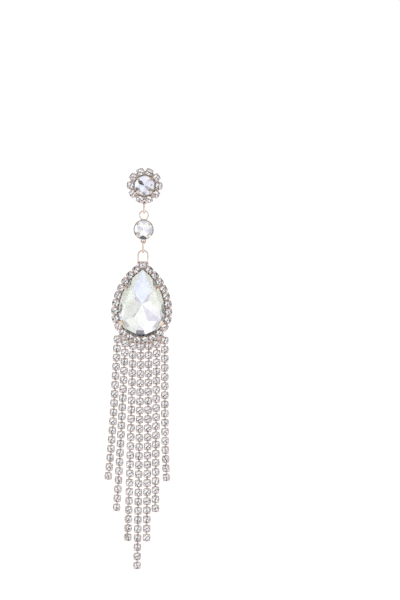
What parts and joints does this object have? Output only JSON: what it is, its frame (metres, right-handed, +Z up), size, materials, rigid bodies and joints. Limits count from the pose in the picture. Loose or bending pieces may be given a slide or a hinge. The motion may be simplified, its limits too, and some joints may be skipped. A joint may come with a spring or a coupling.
{
  "type": "chandelier earring",
  "caption": "Long statement drop earring: flower stud, round connector and pear stone in a halo, with a fringe of cup-chain strands.",
  "frame": {"origin": "centre of the ear post where it leaves its round pad, on the face that meets the ear", "axes": "+Z up along the hanging earring, the stones face -Y, the ear post points along +Y, +X is the viewer's right"},
  "size_m": [0.0186, 0.0155, 0.1132],
  "materials": {
    "gold_plate": "polished pale rose-gold plating",
    "cut_glass": "foil-backed clear cut glass",
    "stone_chain": "small clear stones in plated cups"
  },
  "bodies": {
    "stud": {"ear_post": "gold_plate", "stud_setting": "gold_plate", "stud_stone": "cut_glass", "petal_ring": "stone_chain"},
    "upper_link": {"upper_link": "gold_plate"},
    "connector": {"connector_setting": "gold_plate", "connector_stone": "cut_glass"},
    "lower_link": {"lower_link": "gold_plate"},
    "drop": {"pear_setting": "gold_plate", "pear_stone": "cut_glass", "halo": "stone_chain", "strand_1": "stone_chain", "strand_2": "stone_chain", "strand_3": "stone_chain", "strand_4": "stone_chain", "strand_5": "stone_chain", "strand_6": "stone_chain", "strand_7": "stone_chain"}
  },
  "joints": [
    {"name": "upper_link_swing", "type": "hinge", "parent": "stud", "child": "upper_link", "pos_m": [0, -0.0008, -0.00508], "axis": [1, 0, 0], "range_deg": [-40, 40]},
    {"name": "connector_sway", "type": "hinge", "parent": "upper_link", "child": "connector", "pos_m": [0, -0.0008, -0.00762], "axis": [0, 1, 0], "range_deg": [-35, 35]},
    {"name": "lower_link_swing", "type": "hinge", "parent": "connector", "child": "lower_link", "pos_m": [0, -0.0008, -0.01625], "axis": [1, 0, 0], "range_deg": [-40, 40]},
    {"name": "drop_sway", "type": "hinge", "parent": "lower_link", "child": "drop", "pos_m": [0, -0.0008, -0.01879], "axis": [0, 1, 0], "range_deg": [-35, 35]}
  ]
}
